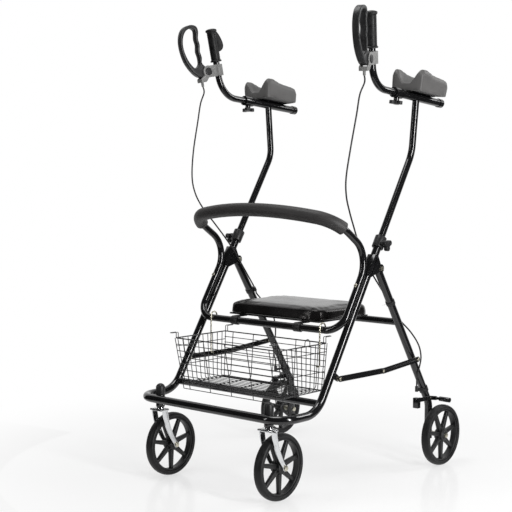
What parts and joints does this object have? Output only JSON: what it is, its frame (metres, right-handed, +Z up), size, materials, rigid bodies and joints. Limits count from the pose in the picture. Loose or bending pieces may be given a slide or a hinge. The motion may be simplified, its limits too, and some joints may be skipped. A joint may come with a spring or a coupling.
{
  "type": "upright walker",
  "caption": "Upright folding walker with forearm troughs on sliding posts, upright grips, loop brake levers, seat, backrest and wire basket on large wheels.",
  "frame": {"origin": "on the floor, in the middle of the footprint", "axes": "+Z up, -Y towards the front (the way it is walked), +X towards the side nearest in the picture"},
  "size_m": [0.7502, 0.888, 1.4483],
  "materials": {
    "black_plastic": "satin moulded",
    "cable_sheath": "satin",
    "chrome": "polished chrome",
    "foam": "matte closed cell",
    "grey_pad": "matte grey integral-skin foam",
    "grey_plastic": "matte moulded",
    "painted_steel": "gloss black powder coat",
    "plain_steel": "bright zinc plated",
    "tyre_rubber": "matte",
    "vinyl": "soft black vinyl over foam"
  },
  "bodies": {
    "front_frame": {"base_tube": "painted_steel", "cross_bar": "painted_steel", "backrest_loop": "painted_steel", "backrest_foam": "foam", "frame_brackets": "painted_steel", "frame_fasteners": "plain_steel", "post_collars": "black_plastic", "caster_sleeves": "painted_steel", "caster_caps": "black_plastic", "basket_front": "painted_steel", "basket_back": "painted_steel", "basket_left": "painted_steel", "basket_right": "painted_steel", "basket_floor": "painted_steel", "basket_hangers": "plain_steel", "brake_cable_left": "cable_sheath", "brake_cable_right": "cable_sheath"},
    "rear_frame": {"rear_leg_left": "painted_steel", "rear_leg_right": "painted_steel", "seat_rest_bar": "painted_steel", "leg_brackets": "black_plastic", "leg_fasteners": "plain_steel", "cable_clips": "black_plastic"},
    "seat": {"seat_cushion": "vinyl", "seat_board": "black_plastic", "seat_clips": "black_plastic"},
    "front_stay_left": {"front_stay_left": "painted_steel"},
    "rear_stay_left": {"rear_stay_left": "painted_steel"},
    "caster_left": {"caster_fork_left": "chrome", "caster_axle_left": "plain_steel"},
    "front_wheel_left": {"front_wheel_left": "black_plastic", "front_tyre_left": "tyre_rubber"},
    "rear_wheel_left": {"rear_wheel_left": "black_plastic", "rear_tyre_left": "tyre_rubber"},
    "arm_left": {"arm_post_left": "painted_steel", "arm_pad_left": "grey_pad"},
    "handle_left": {"handle_tube_left": "painted_steel", "hand_grip_left": "tyre_rubber", "brake_housing_left": "grey_plastic"},
    "lever_left": {"brake_lever_left": "black_plastic"},
    "brake_arm_left": {"brake_arm_left": "painted_steel"},
    "post_knob_left": {"post_knob_left": "black_plastic"},
    "reach_knob_left": {"reach_knob_left": "black_plastic"},
    "front_stay_right": {"front_stay_right": "painted_steel"},
    "rear_stay_right": {"rear_stay_right": "painted_steel"},
    "caster_right": {"caster_fork_right": "chrome", "caster_axle_right": "plain_steel"},
    "front_wheel_right": {"front_wheel_right": "black_plastic", "front_tyre_right": "tyre_rubber"},
    "rear_wheel_right": {"rear_wheel_right": "black_plastic", "rear_tyre_right": "tyre_rubber"},
    "arm_right": {"arm_post_right": "painted_steel", "arm_pad_right": "grey_pad"},
    "handle_right": {"handle_tube_right": "painted_steel", "hand_grip_right": "tyre_rubber", "brake_housing_right": "grey_plastic"},
    "lever_right": {"brake_lever_right": "black_plastic"},
    "brake_arm_right": {"brake_arm_right": "painted_steel"},
    "post_knob_right": {"post_knob_right": "black_plastic"},
    "reach_knob_right": {"reach_knob_right": "black_plastic"}
  },
  "joints": [
    {"name": "fold", "type": "hinge", "parent": "front_frame", "child": "rear_frame", "pos_m": [0, 0.04, 0.665], "axis": [-1, 0, 0], "range_deg": [0, 50], "deforming": ["brake_cable_left", "brake_cable_right"]},
    {"name": "seat_flip", "type": "hinge", "parent": "front_frame", "child": "seat", "pos_m": [0, -0.1436, 0.484], "axis": [1, 0, 0], "range_deg": [0, 80]},
    {"name": "front_stay_left_turn", "type": "hinge", "parent": "front_frame", "child": "front_stay_left", "pos_m": [-0.3149, -0.17318, 0.34834], "axis": [-1, 0, 0], "range_deg": [0, 80.48]},
    {"name": "rear_stay_left_turn", "type": "hinge", "parent": "rear_frame", "child": "rear_stay_left", "pos_m": [-0.3149, 0.23983, 0.36], "axis": [1, 0, 0], "range_deg": [0, 114.08]},
    {"name": "caster_left_swivel", "type": "hinge", "parent": "front_frame", "child": "caster_left", "pos_m": [-0.224, -0.39, 0.22], "axis": [0, 0, 1], "continuous": true},
    {"name": "front_wheel_left_spin", "type": "hinge", "parent": "caster_left", "child": "front_wheel_left", "pos_m": [-0.224, -0.344, 0.1], "axis": [1, 0, 0], "continuous": true},
    {"name": "rear_wheel_left_spin", "type": "hinge", "parent": "rear_frame", "child": "rear_wheel_left", "pos_m": [-0.345, 0.344, 0.1], "axis": [1, 0, 0], "continuous": true},
    {"name": "arm_left_height", "type": "slide", "parent": "front_frame", "child": "arm_left", "axis": [0, 0.5299, 0.848], "range_m": [-0.1, 0.05], "deforming": ["brake_cable_left"]},
    {"name": "handle_left_reach", "type": "slide", "parent": "arm_left", "child": "handle_left", "axis": [-0.006, -0.9971, 0.0765], "range_m": [-0.035, 0.05], "deforming": ["brake_cable_left"]},
    {"name": "lever_left_squeeze", "type": "hinge", "parent": "handle_left", "child": "lever_left", "pos_m": [-0.32898, -0.0728, 1.2979], "axis": [-0.9663, 0.2552, -0.0328], "range_deg": [0, 12], "stiffness_Nm_per_rad": 0.4, "deforming": ["brake_cable_left"]},
    {"name": "brake_arm_left_press", "type": "hinge", "parent": "rear_frame", "child": "brake_arm_left", "pos_m": [-0.31, 0.33155, 0.22], "axis": [-1, 0, 0], "range_deg": [0, 12.1], "deforming": ["brake_cable_left"]},
    {"name": "post_knob_left_turn", "type": "hinge", "parent": "front_frame", "child": "post_knob_left", "pos_m": [-0.326, 0.04501, 0.73904], "axis": [1, 0, 0], "continuous": true},
    {"name": "reach_knob_left_turn", "type": "hinge", "parent": "arm_left", "child": "reach_knob_left", "pos_m": [-0.3087, 0.11356, 1.18541], "axis": [0.0782, -0.0767, -0.994], "continuous": true},
    {"name": "front_stay_right_turn", "type": "hinge", "parent": "front_frame", "child": "front_stay_right", "pos_m": [0.3149, -0.17318, 0.34834], "axis": [-1, 0, 0], "range_deg": [0, 80.48]},
    {"name": "rear_stay_right_turn", "type": "hinge", "parent": "rear_frame", "child": "rear_stay_right", "pos_m": [0.3149, 0.23983, 0.36], "axis": [1, 0, 0], "range_deg": [0, 114.08]},
    {"name": "caster_right_swivel", "type": "hinge", "parent": "front_frame", "child": "caster_right", "pos_m": [0.224, -0.39, 0.22], "axis": [0, 0, 1], "continuous": true},
    {"name": "front_wheel_right_spin", "type": "hinge", "parent": "caster_right", "child": "front_wheel_right", "pos_m": [0.224, -0.344, 0.1], "axis": [1, 0, 0], "continuous": true},
    {"name": "rear_wheel_right_spin", "type": "hinge", "parent": "rear_frame", "child": "rear_wheel_right", "pos_m": [0.345, 0.344, 0.1], "axis": [1, 0, 0], "continuous": true},
    {"name": "arm_right_height", "type": "slide", "parent": "front_frame", "child": "arm_right", "axis": [0, 0.5299, 0.848], "range_m": [-0.1, 0.05], "deforming": ["brake_cable_right"]},
    {"name": "handle_right_reach", "type": "slide", "parent": "arm_right", "child": "handle_right", "axis": [0.006, -0.9971, 0.0765], "range_m": [-0.035, 0.05], "deforming": ["brake_cable_right"]},
    {"name": "lever_right_squeeze", "type": "hinge", "parent": "handle_right", "child": "lever_right", "pos_m": [0.32898, -0.0728, 1.2979], "axis": [-0.9663, -0.2552, 0.0328], "range_deg": [0, 12], "stiffness_Nm_per_rad": 0.4, "deforming": ["brake_cable_right"]},
    {"name": "brake_arm_right_press", "type": "hinge", "parent": "rear_frame", "child": "brake_arm_right", "pos_m": [0.31, 0.33155, 0.22], "axis": [-1, 0, 0], "range_deg": [0, 12.1], "deforming": ["brake_cable_right"]},
    {"name": "post_knob_right_turn", "type": "hinge", "parent": "front_frame", "child": "post_knob_right", "pos_m": [0.326, 0.04501, 0.73904], "axis": [1, 0, 0], "continuous": true},
    {"name": "reach_knob_right_turn", "type": "hinge", "parent": "arm_right", "child": "reach_knob_right", "pos_m": [0.3087, 0.11356, 1.18541], "axis": [-0.0782, -0.0767, -0.994], "continuous": true}
  ],
  "couplings": [
    {"joint": "front_stay_left_turn", "follows": "fold", "ratio": 1.6057},
    {"joint": "rear_stay_left_turn", "follows": "fold", "ratio": 2.2776},
    {"joint": "brake_arm_left_press", "follows": "lever_left_squeeze", "ratio": 1},
    {"joint": "front_stay_right_turn", "follows": "fold", "ratio": 1.6057},
    {"joint": "rear_stay_right_turn", "follows": "fold", "ratio": 2.2776},
    {"joint": "brake_arm_right_press", "follows": "lever_right_squeeze", "ratio": 1}
  ]
}
